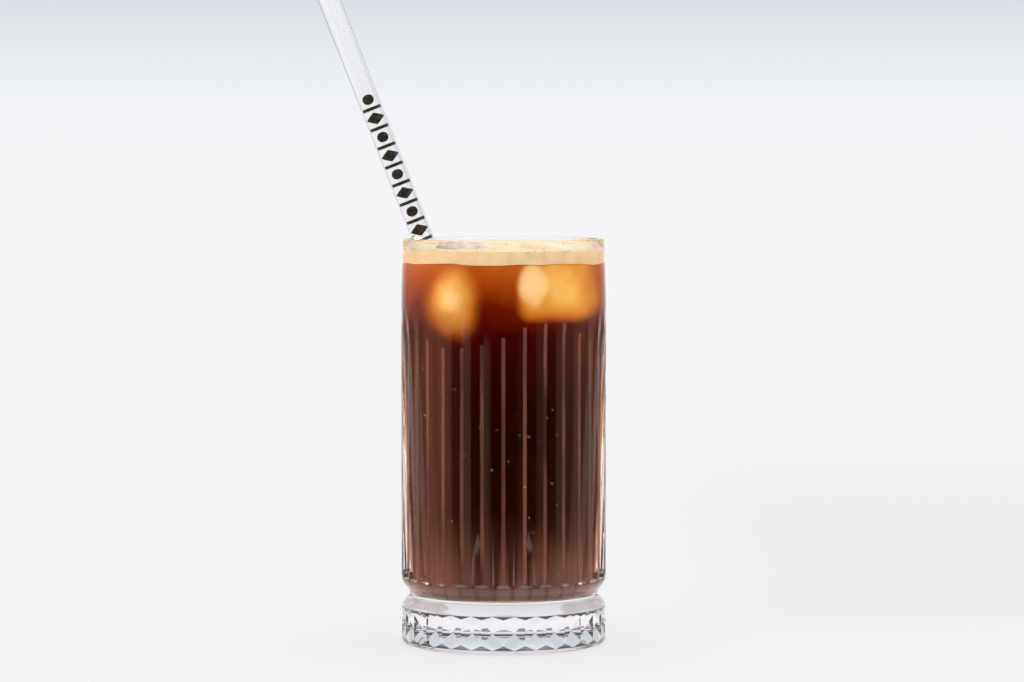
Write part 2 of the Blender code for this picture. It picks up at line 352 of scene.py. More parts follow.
def coloured(tree, share, stops, interpolation="LINEAR"):
    """A colour ramp over the share; each stop is a place and a colour."""
    node = tree.nodes.new("ShaderNodeValToRGB")
    ramp = node.color_ramp
    ramp.interpolation = interpolation
    first, last = ramp.elements
    last.position = stops[-1][0]
    last.color = (*stops[-1][1], 1.0)
    first.position = stops[0][0]
    first.color = (*stops[0][1], 1.0)
    for place, colour in stops[1:-1]:
        ramp.elements.new(place).color = (*colour, 1.0)
    tree.links.new(share, node.inputs[0])
    return node.outputs[0]


def add_bump(tree, shader, height, strength, distance):
    bump = tree.nodes.new("ShaderNodeBump")
    bump.inputs["Strength"].default_value = strength
    bump.inputs["Distance"].default_value = distance
    tree.links.new(height, bump.inputs["Height"])
    tree.links.new(bump.outputs[0], shader.inputs["Normal"])


def pressed_glass_material(name, colour=(0.985, 0.99, 0.995), clearness=1.0):
    """Glass with the faint waves of the mould; a clearness under 1 makes it milky."""
    material, tree, shader = new_material(name)
    shader.inputs["Base Color"].default_value = (*colour, 1.0)
    shader.inputs["Roughness"].default_value = 0.0
    shader.inputs["IOR"].default_value = 1.5
    shader.inputs["Transmission Weight"].default_value = clearness
    add_bump(tree, shader, uneven(tree, 160.0, 1.0, (1.0, 1.0, 0.35)), 0.05, 0.4 * MM)
    return material


def painted_light_groove_material():
    """The rounded bottoms of the flutes: a milky tint in red-brown patches along their length paints in the
    light they catch.
    """
    material = pressed_glass_material("painted_light_groove_glass", clearness=0.8)
    tree = material.node_tree
    patches = uneven(tree, 70.0, 4.0, (1.0, 1.0, 0.22))
    colour = coloured(tree, patches, ((0.40, (0.26, 0.09, 0.06)), (0.60, (0.95, 0.40, 0.29))))
    tree.links.new(colour, tree.nodes["Principled BSDF"].inputs["Base Color"])
    return material


def round_facet_edges(mesh):
    """Gives the edges of the cut leaves the small round that fire-polishing leaves."""
    build = bmesh.new()
    build.from_mesh(mesh)
    bmesh.ops.recalc_face_normals(build, faces=build.faces[:])
    edges = []
    for edge in build.edges:
        inside = all(BAND_LOW_Z - MM * 0.01 <= v.co.z <= BAND_HIGH_Z + MM * 0.01 for v in edge.verts)
        if inside and edge.calc_face_angle(0.0) > math.radians(14) and edge.calc_length() > 0.8 * MM:
            edges.append(edge)
    bmesh.ops.bevel(
        build, geom=edges, offset=FACET_EDGE_ROUND, segments=2, profile=0.5, affect="EDGES",
        clamp_overlap=True,
    )
    build.to_mesh(mesh)
    build.free()


clear_wall = pressed_glass_material("pressed_glass")
glass = run_tree(
    object_from(pressed_segment(), "pressed_segment"),
    mould_tree(),
    {
        "Segments": FLUTE_COUNT,
        "First Angle": -math.pi / 2,
        "Weld Distance": 0.002 * MM,
        "Material": clear_wall,
    },
    "highball_glass",
)
round_facet_edges(glass.data)
smooth(glass.data, 12)
wetted_wall = pressed_glass_material("wetted_glass")
wetted_wall.node_tree.nodes["Principled BSDF"].inputs["Specular Tint"].default_value = (0.0, 0.0, 0.0, 1.0)
finishes_and_painted_light = {
    "clear": clear_wall,
    "wetted": wetted_wall,
    # Painted shadow: the lowest facets are tinted dark grey for the table's shadow under the foot.
    "low facet": pressed_glass_material("shaded_glass", (0.09, 0.08, 0.09)),
    # Painted reflection: the highest facets are tinted near-black brown where the coffee shows in them.
    "high facet": pressed_glass_material("painted_coffee_reflection_glass", (0.012, 0.005, 0.005)),
    # Painted light lines in the flute bottoms.
    "groove": painted_light_groove_material(),
    # Painted light: a milky pale tint on the shoulder stands in for the light coming through it.
    "shoulder": pressed_glass_material("painted_light_shoulder_glass", (0.95, 0.94, 0.97), 0.45),
}
finish_and_light_places = {name: place for place, name in enumerate(finishes_and_painted_light)}


def near(height, wanted, reach=0.3 * MM):
    return abs(height - wanted) < reach


def finish_and_painted_light_of(face, vertices):
    """Which finish a face of the glass has, by its place; some of them carry painted light and shade."""
    middle = face.center
    lowest = min(vertices[i].co.z for i in face.vertices)
    highest = max(vertices[i].co.z for i in face.vertices)
    if math.hypot(middle.x, middle.y) < cavity_radius(middle.z) + 0.2 * MM:
        wetted = CAVITY_FLOOR_Z - 0.1 * MM < middle.z < DRINK_TOP_Z
        inside_finish = "wetted" if wetted else "clear"
    else:
        inside_finish = None
    if near(highest, BAND_HIGH_Z, 0.15 * MM) and near(lowest, BAND_HIGH_Z - LEAF_TOP_SHOULDER):
        return "high facet"
    if near(lowest, BAND_LOW_Z, 0.15 * MM) and near(highest, BAND_LOW_Z + LEAF_BOTTOM_SHOULDER):
        return "low facet"
    if inside_finish:
        return inside_finish
    if BAND_HIGH_Z + 0.1 * MM < middle.z < WAIST_Z - 0.9 * MM:
        return "shoulder"
    flute = (math.atan2(middle.y, middle.x) + math.pi / 2) * FLUTE_COUNT / (2.0 * math.pi)
    across = 2.0 * abs((flute + 0.5) % 1.0 - 0.5)
    groove_top = FLUTE_FADE_Z + GROOVE_TOP_RISE + GROOVE_TOP_SPREAD * math.sin(7.0 * round(flute))
    if across < GROOVE_SHARE and FLUTE_FOOT_Z + FLUTE_RUN_IN < middle.z < groove_top:
        return "groove"
    return "clear"


glass.data.materials.clear()
for finish in finishes_and_painted_light.values():
    glass.data.materials.append(finish)
for face in glass.data.polygons:
    face.material_index = finish_and_light_places[finish_and_painted_light_of(face, glass.data.vertices)]
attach(glass, "root")
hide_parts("glass")


# Ice.
# Two tray-made blocks, melting: all edges round, a little cloudy inside, wet and glossy where they stand
# out of the foam. They float with their tops just clear of it.
ICE_ROUNDING_SHARE = 0.24
ICE_TAPER = 0.07
ICE_BLOCKS = {
    "ice_left": (
        Vector((18.0, 18.0, 26.0)) * MM,
        Vector((-15.0, -13.0, 134.8)) * MM,
        Euler((math.radians(5), math.radians(7), math.radians(42))),
    ),
    "ice_right": (
        Vector((21.0, 20.0, 25.0)) * MM,
        Vector((15.8, -12.0, 134.6)) * MM,
        Euler((math.radians(-6), math.radians(7), math.radians(-14))),
    ),
}
LIQUID_OVERLAP = 0.06 * MM


def ice_block(size, centre, turn, grow=0.0):
    """A melting block as a bmesh, in place; grow moves its faces out."""
    build = bmesh.new()
    sides = size + Vector((2.0 * grow, 2.0 * grow, 2.0 * grow))
    bmesh.ops.create_cube(build, size=1.0)
    bmesh.ops.scale(build, vec=sides, verts=build.verts)
    bmesh.ops.bevel(
        build,
        geom=build.edges[:] + build.verts[:],
        offset=sides.x * ICE_ROUNDING_SHARE,
        segments=8,
        profile=0.5,
        affect="EDGES",
    )
    for vert in build.verts:
        narrowing = 1.0 + ICE_TAPER * vert.co.z / sides.z
        vert.co.x *= narrowing
        vert.co.y *= narrowing
    bmesh.ops.recalc_face_normals(build, faces=build.faces[:])
    place = Matrix.Translation(centre) @ turn.to_matrix().to_4x4()
    bmesh.ops.transform(build, matrix=place, verts=build.verts)
    return build


def ice_material(name, colour):
    material, tree, shader = new_material(name)
    shader.inputs["Base Color"].default_value = (*colour, 1.0)
    shader.inputs["Roughness"].default_value = 0.03
    shader.inputs["IOR"].default_value = 1.31
    add_bump(tree, shader, uneven(tree, 190.0, 3.0), 0.8, 1.2 * MM)
    return material


def graded(tree, value, start, end, smooth=True, lowest=0.0):
    """The value's way from start to end as a share from lowest to 1; start and end may be sockets."""
    node = tree.nodes.new("ShaderNodeMapRange")
    node.interpolation_type = "SMOOTHSTEP" if smooth else "LINEAR"
    node.inputs["To Min"].default_value = lowest
    for name, limit in (("From Min", start), ("From Max", end)):
        if isinstance(limit, (int, float)):
            node.inputs[name].default_value = limit
        else:
            tree.links.new(limit, node.inputs[name])
    tree.links.new(value, node.inputs["Value"])
    return node.outputs[0]


def stain_with_coffee(tree):
    """Pale ice that turns amber where coffee has crept between the blocks and the wall."""
    coordinates = tree.nodes.new("ShaderNodeTexCoord")
    split = tree.nodes.new("ShaderNodeSeparateXYZ")
    tree.links.new(coordinates.outputs["Object"], split.inputs[0])
    swirl = times(tree, uneven(tree, 110.0), 9.0 * MM)
    across = plus(tree, split.outputs["X"], swirl)
    share = graded(tree, across, 17.0 * MM, 28.0 * MM, smooth=False)
    colour = coloured(tree, share, ((0.0, (0.86, 0.76, 0.56)), (1.0, (0.56, 0.33, 0.04))))
    tree.links.new(colour, tree.nodes["Principled BSDF"].inputs["Base Color"])


def patch_with_foam(tree):
    """Greyish wet ice with thin patches of foam left on it."""
    patches = uneven(tree, 140.0, 3.0, (1.0, 1.0, 2.0))
    colour = coloured(tree, patches, ((0.42, (0.60, 0.47, 0.44)), (0.58, (0.95, 0.84, 0.70))))
    tree.links.new(colour, tree.nodes["Principled BSDF"].inputs["Base Color"])


wet_ice = ice_material("wet_ice", (0.80, 0.70, 0.63))
wet_ice.node_tree.nodes["Principled BSDF"].inputs["Transmission Weight"].default_value = 0.15
patch_with_foam(wet_ice.node_tree)
foamed_ice = ice_material("foamed_ice", (0.86, 0.72, 0.50))
sunk_ice = ice_material("sunk_ice", (0.86, 0.76, 0.56))
sunk_ice.node_tree.nodes["Principled BSDF"].inputs["Specular IOR Level"].default_value = 0.0
stain_with_coffee(sunk_ice.node_tree)
for node, (size, centre, turn) in ICE_BLOCKS.items():
    ice = object_from(ice_block(size, centre, turn), node + "_block")
    smooth(ice.data, 60)
    ice.data.materials.append(sunk_ice)
    ice.data.materials.append(wet_ice if node == "ice_left" else foamed_ice)
    for face in ice.data.polygons:
        face.material_index = int(face.center.z > DRINK_TOP_Z - 0.5 * MM)
    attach(ice, "root")
    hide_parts(node)


# Straw.
# A drawn tube of clear borosilicate glass, cut to length and fire-polished at both ends. It stands on the
# floor of the cavity and leans on the lip. Dark fired-on marks run down its front face.
STRAW_RADIUS = 4.0 * MM
STRAW_BORE_RADIUS = 2.8 * MM
STRAW_LENGTH = 250.0 * MM
STRAW_END_ROUND = 0.3 * MM
STRAW_SIDES = 48
STRAW_FOOT = Vector((21.2, 12.0, 18.9)) * MM
STRAW_AT_RIM = Vector((-30.1, 7.4, 150.0)) * MM
STRAW_TURN = (STRAW_AT_RIM - STRAW_FOOT).to_track_quat("Z", "Y").to_matrix().to_4x4()
STRAW_PLACE = Matrix.Translation(STRAW_FOOT) @ STRAW_TURN


def turned(outline, sides, closed=False):
    """A turned shape as a bmesh; a radius of 0 is a point on the axis."""
    build = bmesh.new()
    turns = [2.0 * math.pi * i / sides for i in range(sides)]
    rings = []
    for radius, z in outline:
        places = [(radius * math.cos(turn), radius * math.sin(turn), z) for turn in turns]
        rings.append([build.verts.new(place) for place in places[: sides if radius else 1]])
    pairs = list(zip(rings, rings[1:]))
    if closed:
        pairs.append((rings[-1], rings[0]))
    for lower, upper in pairs:
        for i in range(sides):
            after = (i + 1) % sides
            if len(lower) == 1:
                build.faces.new((lower[0], upper[after], upper[i]))
            elif len(upper) == 1:
                build.faces.new((lower[i], lower[after], upper[0]))
            else:
                build.faces.new((lower[i], lower[after], upper[after], upper[i]))
    bmesh.ops.recalc_face_normals(build, faces=build.faces[:])
    return build


def straw_tube(thinner=0.0):
    wall_middle = (STRAW_RADIUS + STRAW_BORE_RADIUS) / 2
    wall_half = (STRAW_RADIUS - STRAW_BORE_RADIUS) / 2 - thinner
    end_round = STRAW_END_ROUND * 2 - thinner
    outline = []
    for end_z, direction, turns in (
        (STRAW_END_ROUND * 2, -1.0, between(math.pi, 0.0, 8)),
        (STRAW_LENGTH - STRAW_END_ROUND * 2, 1.0, between(0.0, math.pi, 8)),
    ):
        outline.append((wall_middle + wall_half * (-1.0 if direction < 0 else 1.0), end_z))
        for turn in turns:
            outline.append(
                (wall_middle + wall_half * math.cos(turn), end_z + direction * end_round * math.sin(turn))
            )
    return turned(outline, STRAW_SIDES, closed=True)


def straw_glass_material():
    material, tree, shader = new_material("drawn_glass")
    shader.inputs["Base Color"].default_value = (0.97, 0.98, 0.985, 1.0)
    shader.inputs["Roughness"].default_value = 0.0
    shader.inputs["IOR"].default_value = 1.47
    shader.inputs["Specular Tint"].default_value = (0.45, 0.45, 0.45, 1.0)
    shader.inputs["Transmission Weight"].default_value = 1.0
    add_bump(tree, shader, uneven(tree, 30.0, 1.0, (1.0, 1.0, 0.2)), 0.03, 0.3 * MM)
    return material


straw_build = straw_tube()
bmesh.ops.transform(straw_build, matrix=STRAW_PLACE, verts=straw_build.verts)
straw = object_from(straw_build, "glass_straw")
smooth(straw.data, 40)
straw.data.materials.append(straw_glass_material())
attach(straw, "root")
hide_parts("straw")


# Printed marks.
# Dark enamel fired onto the front of the straw in one row of plain bars, diamonds and dots, a hair thick
# and sunk a little into the wall of the tube.
MARK_COLUMNS = 12
MARK_HALF_TURN = math.radians(60)
MARK_LOW = STRAW_RADIUS - 0.03 * MM
MARK_HIGH = STRAW_RADIUS + 0.03 * MM
MARK_SHAPES = (
    (0.0, 0.6, 0), (3.8, 2.3, 1), (7.6, 0.6, 0), (11.2, 1.9, 2),
)
MARK_REPEATS = 4
MARK_STEP = 14.8 * MM
MARK_START = 140.5 * MM


def printed_motif():
    """One repeat of the row: thin closed patches on the straw's surface, middle on +X."""
    build = bmesh.new()
    for start, half_length, kind in MARK_SHAPES:
        rows = []
        for i in range(MARK_COLUMNS + 1):
            place = 2.0 * i / MARK_COLUMNS - 1.0
            reach = (1.0, 1.0 - abs(place), math.sqrt(1.0 - place * place))[kind]
            half = max(half_length * reach, 0.06) * MM
            angle = place * MARK_HALF_TURN * (1.0, 0.95, 0.55)[kind]
            corners = []
            for radius, side in ((MARK_LOW, -1), (MARK_HIGH, -1), (MARK_HIGH, 1), (MARK_LOW, 1)):
                height = start * MM + side * half
                corners.append(build.verts.new((radius * math.cos(angle), radius * math.sin(angle), height)))
            rows.append(corners)
        for before, after in zip(rows, rows[1:]):
            for i in range(4):
                build.faces.new((before[i], after[i], after[(i + 1) % 4], before[(i + 1) % 4]))
        build.faces.new(rows[0])
        build.faces.new(list(reversed(rows[-1])))
    bmesh.ops.recalc_face_normals(build, faces=build.faces[:])
    return build


def row_tree():
    """Repeats one motif along Z."""
    tree, given, made = geometry_tree(
        "row_of_marks",
        {"Repeats": "Int", "Step": "Float", "Start": "Float", "Material": "Material"},
    )
    link = tree.links.new
    index = tree.nodes.new("GeometryNodeInputIndex")
    rise = times(tree, index.outputs[0], given.outputs["Step"])
    height = plus(tree, rise, given.outputs["Start"])
    place = tree.nodes.new("ShaderNodeCombineXYZ")
    link(height, place.inputs["Z"])
    points = tree.nodes.new("GeometryNodePoints")
    link(given.outputs["Repeats"], points.inputs["Count"])
    link(place.outputs[0], points.inputs["Position"])
    row = real_copies(tree, points.outputs[0], given.outputs["Geometry"])
    return hand_out(tree, row, given, made)


def enamel_material():
    material, tree, shader = new_material("dark_enamel")
    worn = uneven(tree, 900.0, 3.0)
    colour = coloured(tree, worn, ((0.35, (0.012, 0.010, 0.008)), (0.7, (0.075, 0.062, 0.040))))
    tree.links.new(colour, shader.inputs["Base Color"])
    shader.inputs["Roughness"].default_value = 0.35
    return material


def one_material(item, material):
    item.data.materials.clear()
    item.data.materials.append(material)
    for face in item.data.polygons:
        face.material_index = 0


enamel = enamel_material()
marks = run_tree(
    object_from(printed_motif(), "printed_motif"),
    row_tree(),
    {"Repeats": MARK_REPEATS, "Step": MARK_STEP, "Start": MARK_START, "Material": enamel},
    "straw_marks",
)
front_turn = STRAW_TURN.to_quaternion().inverted() @ Vector((0.0, -1.0, 0.0))
marks.data.transform(STRAW_PLACE @ Matrix.Rotation(math.atan2(front_turn.y, front_turn.x), 4, "Z"))
one_material(marks, enamel)
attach(marks, "root")


# Coffee.
# Black coffee, poured over the ice. It wets the wall, so it meets the glass with no air between, and the
# melt water keeps its top layer thinner and more orange than the rest.
COFFEE_TOP_Z = 141.0 * MM
FOAM_TOP_Z = DRINK_TOP_Z
DRINK_SIDES = 224


def drink_profile(grow):
    """The cavity's floor and corner, moved out by grow, up to where the wall begins."""
    outline = [(0.0, CAVITY_FLOOR_Z - grow)]
    centre_radius = CAVITY_LOW_RADIUS - CAVITY_CORNER
    centre_z = CAVITY_FLOOR_Z + CAVITY_CORNER
    reach = CAVITY_CORNER + grow
    for turn in [math.pi / 2, *between(math.pi / 2, 0.0, 10)]:
        outline.append((centre_radius + reach * math.cos(turn), centre_z - reach * math.sin(turn)))
    return outline


def ripple(build):
    """Lets the line between coffee and foam run a little up and down along the wall."""
    for vert in build.verts:
        if abs(vert.co.z - COFFEE_TOP_Z) < 0.2 * MM and math.hypot(vert.co.x, vert.co.y) > 30.0 * MM:
            angle = math.atan2(vert.co.y, vert.co.x)
            wave = math.sin(5 * angle + 0.4) + 0.7 * math.sin(9 * angle + 2.1) + 0.4 * math.sin(17 * angle)
            vert.co.z += 0.2 * MM * wave
    return build


def cut_out(item, cutters):
    """Takes the cutters out of the item's mesh."""
    for cutter in cutters:
        boolean = item.modifiers.new("cut_out", "BOOLEAN")
        boolean.operation = "DIFFERENCE"
        boolean.solver = "EXACT"
        boolean.object = cutter
    graph = bpy.context.evaluated_depsgraph_get()
    mesh = bpy.data.meshes.new_from_object(item.evaluated_get(graph))
    item.modifiers.clear()
    item.data = mesh


def drink_cutters():
    """What stands in the drink, a little smaller, so that the liquid reaches just into it."""
    cutters = []
    for node, (size, centre, turn) in ICE_BLOCKS.items():
        build = ice_block(size, centre, turn, -LIQUID_OVERLAP)
        cutters.append(object_from(build, node + "_cutter"))
    tube = straw_tube(LIQUID_OVERLAP)
    bmesh.ops.transform(tube, matrix=STRAW_PLACE, verts=tube.verts)
    cutters.append(object_from(tube, "straw_cutter"))
    return cutters


def coffee_material():
    material, tree, shader = new_material("clear_coffee")
    shader.inputs["Base Color"].default_value = (1.0, 1.0, 1.0, 1.0)
    shader.inputs["Roughness"].default_value = 0.0
    shader.inputs["IOR"].default_value = 1.34
    shader.inputs["Specular Tint"].default_value = (0.0, 0.0, 0.0, 1.0)
    shader.inputs["Transmission Weight"].default_value = 1.0
    absorption = tree.nodes.new("ShaderNodeVolumeAbsorption")
    absorption.inputs["Color"].default_value = (0.85, 0.57, 0.2, 1.0)
    absorption.inputs["Density"].default_value = 165.0
    output = next(node for node in tree.nodes if node.type == "OUTPUT_MATERIAL")
    tree.links.new(absorption.outputs[0], output.inputs["Volume"])
    return material


coffee_outline = drink_profile(LIQUID_OVERLAP)
for z in between(CAVITY_FLOOR_Z + CAVITY_CORNER, COFFEE_TOP_Z, 24):
    coffee_outline.append((cavity_radius(z) + LIQUID_OVERLAP, z))
coffee_outline.append((0.0, COFFEE_TOP_Z))
coffee = object_from(ripple(turned(coffee_outline, DRINK_SIDES)), "coffee_fill")
cutters = drink_cutters()
cut_out(coffee, cutters)
smooth(coffee.data, 35)
one_material(coffee, coffee_material())
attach(coffee, "root")
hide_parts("coffee")


# Turbid coffee.
# Fine grounds and oil make the drink cloudy a little way in from the wall. Near the foam, where ice has
# melted, it is orange; lower down it is almost black. Light is painted into its colour: a painted glow in
# front of the ice, painted reflections as light lines under the flutes, painted side light that makes it
# browner towards the sides, and painted light from the table that makes it lighter just above the floor.
TURBID_LOW_INSET = 1.4 * MM
TURBID_HIGH_INSET = 0.25 * MM
TURBID_TURN_Z = (104.0 * MM, 122.0 * MM)
TURBID_TOP_Z = COFFEE_TOP_Z - 0.15 * MM
LIGHT_LINE_REACH = 0.28
LIGHT_LINE_WIDENING = 0.22
# Tones from the floor of the cavity up to the top; the lighter browns near the floor are painted light from
# the table, coming up through the foot.
COFFEE_AND_FLOOR_LIGHT_TONES = (
    (0.0, (0.055, 0.022, 0.017)),
    (0.14, (0.036, 0.013, 0.009)),
    (0.26, (0.016, 0.0015, 0.0004)),
    (0.60, (0.013, 0.0005, 0.0001)),
    (0.80, (0.036, 0.001, 0.0001)),
    (0.88, (0.10, 0.006, 0.0003)),
    (0.95, (0.26, 0.042, 0.002)),
    (1.0, (0.34, 0.08, 0.008)),
)
SIDE_REACH = 32.0 * MM
# Painted side light: lighter brown towards the left and right sides of the coffee.
PAINTED_SIDE_LIGHT_TONES = (
    (-32.0, (0.034, 0.008, 0.002)),
    (-22.0, (0.030, 0.006, 0.001)),
    (-15.0, (0.0, 0.0, 0.0)),
    (21.0, (0.0, 0.0, 0.0)),
    (30.0, (0.030, 0.007, 0.001)),
)
# Colours of the painted glow of light coming through the ice.
PAINTED_GLOW_COLOURS = (
    (0.0, (0.84, 0.64, 0.32)),
    (0.1, (0.76, 0.44, 0.09)),
    (0.32, (0.54, 0.20, 0.022)),
    (0.6, (0.34, 0.075, 0.004)),
)
# Painted glows of light through the ice, one for each patch of ice seen at the wall.
PAINTED_GLOWS_OF_ICE = (
    (Vector((-17.5, 128.5)) * MM, Vector((8.2, 12.0)) * MM, 2.0, (0.2, 2.0), 0.6, 0.04),
    (Vector((19.0, 132.5)) * MM, Vector((13.5, 11.5)) * MM, 4.0, (0.6, 1.8), 0.9, 0.12),
    (Vector((10.5, 133.5)) * MM, Vector((6.5, 9.5)) * MM, 2.0, (0.0, 1.2), 0.95, -0.3),
)


def away_from_ice(tree, split, centre, reach, power):
    """0 in front of the middle of the ice, 1 at the edge of its glow, 2 or more behind the axis."""
    parts = []
    for socket, middle, size in (("X", centre.x, reach.x), ("Z", centre.y, reach.y)):
        away = math_node(tree, "ABSOLUTE", math_node(tree, "SUBTRACT", split.outputs[socket], middle))
        parts.append(math_node(tree, "POWER", math_node(tree, "DIVIDE", away, size), power))
    behind = times(tree, math_node(tree, "GREATER_THAN", split.outputs["Y"], 0.0), 2.0)
    return plus(tree, plus(tree, parts[0], parts[1]), behind)


def mixed(tree, share, first, second, blend="MIX"):
    """Mixes two colours, each a socket or three numbers."""
    node = tree.nodes.new("ShaderNodeMix")
    node.data_type = "RGBA"
    node.blend_type = blend
    for socket, value in ((node.inputs[0], share), (node.inputs[6], first), (node.inputs[7], second)):
        if isinstance(value, tuple):
            socket.default_value = (*value, 1.0)
        elif isinstance(value, float):
            socket.default_value = value
        else:
            tree.links.new(value, socket)
    return node.outputs[2]


def painted_flute_reflections(tree, split, height):
    """Painted reflections as light lines under the flutes, wider and paler towards the floor where they
    paint the table's reflection, and their strength.
    """
    turn = math_node(tree, "ARCTAN2", split.outputs["Y"], split.outputs["X"])
    flutes = times(tree, turn, FLUTE_COUNT / (2.0 * math.pi))
    across = math_node(tree, "ABSOLUTE", math_node(tree, "SUBTRACT", math_node(tree, "FRACT", flutes), 0.5))
    low = graded(tree, height, 50.0 * MM, 25.0 * MM)
    reach = plus(tree, times(tree, low, LIGHT_LINE_WIDENING), LIGHT_LINE_REACH)
    line = graded(tree, across, reach, times(tree, reach, 0.6))
    colour = mixed(tree, low, (0.038, 0.016, 0.013), (0.060, 0.038, 0.036))
    patchy = times(tree, uneven(tree, 60.0, 2.0, (1.0, 1.0, 0.25)), 1.6)
    patchy = times(tree, patchy, low)
    return colour, times(tree, line, patchy)


def turbid_material():
    material, tree, shader = new_material("cloudy_coffee_and_painted_light")
    coordinates = tree.nodes.new("ShaderNodeTexCoord")
    split = tree.nodes.new("ShaderNodeSeparateXYZ")
    tree.links.new(coordinates.outputs["Object"], split.inputs[0])
    swirl = math_node(tree, "SUBTRACT", uneven(tree, 55.0, 3.0), 0.5)
    height = plus(tree, split.outputs["Z"], times(tree, swirl, 14.0 * MM))
    depth = graded(tree, height, CAVITY_FLOOR_Z, COFFEE_TOP_Z, smooth=False)
    shown = coloured(tree, depth, COFFEE_AND_FLOOR_LIGHT_TONES)
    # Painted reflections of light as lines under the flutes.
    line_colour, strength = painted_flute_reflections(tree, split, height)
    fluted = graded(tree, height, FLUTE_HEAD_Z - 4.0 * MM, FLUTE_FADE_Z - 4.0 * MM)
    shown = mixed(tree, times(tree, strength, fluted), shown, line_colour, "ADD")
    # Painted side light, only where the flutes run.
    sideways = plus(tree, math_node(tree, "DIVIDE", split.outputs["X"], 2.0 * SIDE_REACH), 0.5)
    stops = [(x * MM / (2.0 * SIDE_REACH) + 0.5, colour) for x, colour in PAINTED_SIDE_LIGHT_TONES]
    shown = mixed(tree, fluted, shown, coloured(tree, sideways, stops), "ADD")
    patches = times(tree, math_node(tree, "SUBTRACT", uneven(tree, 90.0, 1.0), 0.5), 0.8)
    cover = None
    # Painted glow where light comes through the ice; the coffee in front is thinned so the ice shows.
    for centre, reach, power, edge, clearest, tone in PAINTED_GLOWS_OF_ICE:
        away = away_from_ice(tree, split, centre, reach, power)
        away = math_node(tree, "MAXIMUM", plus(tree, away, patches), 0.0)
        toned = plus(tree, times(tree, away, 0.5), tone)
        around = coloured(tree, toned, PAINTED_GLOW_COLOURS, "B_SPLINE")
        shown = mixed(tree, graded(tree, away, *edge), around, shown)
        thin = graded(tree, away, 0.2, 1.0, lowest=clearest)
        cover = thin if cover is None else times(tree, cover, thin)
    tree.links.new(shown, shader.inputs["Base Color"])
    shader.inputs["Roughness"].default_value = 0.9
    shader.inputs["Specular IOR Level"].default_value = 0.0
    path = tree.nodes.new("ShaderNodeLightPath")
    first_sight = math_node(tree, "LESS_THAN", path.outputs["Diffuse Depth"], 0.5)
    tree.links.new(times(tree, cover, first_sight), shader.inputs["Alpha"])
    return material


def turbid_inset(z):
    low, high = TURBID_TURN_Z
    return TURBID_LOW_INSET + (TURBID_HIGH_INSET - TURBID_LOW_INSET) * ease((z - low) / (high - low))


turbid_outline = drink_profile(-TURBID_LOW_INSET)
for z in between(CAVITY_FLOOR_Z + CAVITY_CORNER, TURBID_TOP_Z, 40):
    turbid_outline.append((cavity_radius(z) - turbid_inset(z), z))
turbid_outline.append((0.0, TURBID_TOP_Z))
turbid = object_from(ripple(turned(turbid_outline, DRINK_SIDES)), "cloudy_coffee_and_painted_light")
smooth(turbid.data, 35)
turbid.data.materials.append(turbid_material())
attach(turbid, "root")


# Foam.
# Crema, a layer of fine cream-coloured bubbles under five millimetres thick. It clings to the wall and
# closes round the ice and the straw.
def foam_material():
    material, tree, shader = new_material("crema")
    mottle = uneven(tree, 220.0, 4.0)
    colour = coloured(tree, mottle, ((0.3, (0.74, 0.53, 0.27)), (0.7, (0.82, 0.66, 0.41))))
    tree.links.new(colour, shader.inputs["Base Color"])
    shader.inputs["Roughness"].default_value = 0.45
    return material


foam_outline = [(0.0, COFFEE_TOP_Z)]
for z in [COFFEE_TOP_Z, *between(COFFEE_TOP_Z, FOAM_TOP_Z, 6)]:
    foam_outline.append((cavity_radius(z) + LIQUID_OVERLAP, z))
foam_outline.append((0.0, FOAM_TOP_Z))
foam = object_from(ripple(turned(foam_outline, DRINK_SIDES)), "crema_layer")
rod_radius = STRAW_RADIUS - LIQUID_OVERLAP
rod = turned([(0.0, 0.0), (rod_radius, 0.0), (rod_radius, STRAW_LENGTH), (0.0, STRAW_LENGTH)], STRAW_SIDES)
bmesh.ops.transform(rod, matrix=STRAW_PLACE, verts=rod.verts)
bpy.data.objects.remove(cutters.pop())
cutters.append(object_from(rod, "straw_cutter"))
cut_out(foam, cutters)
smooth(foam.data, 35)
one_material(foam, foam_material())
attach(foam, "root")
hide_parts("foam")
for cutter in cutters:
    bpy.data.objects.remove(cutter)


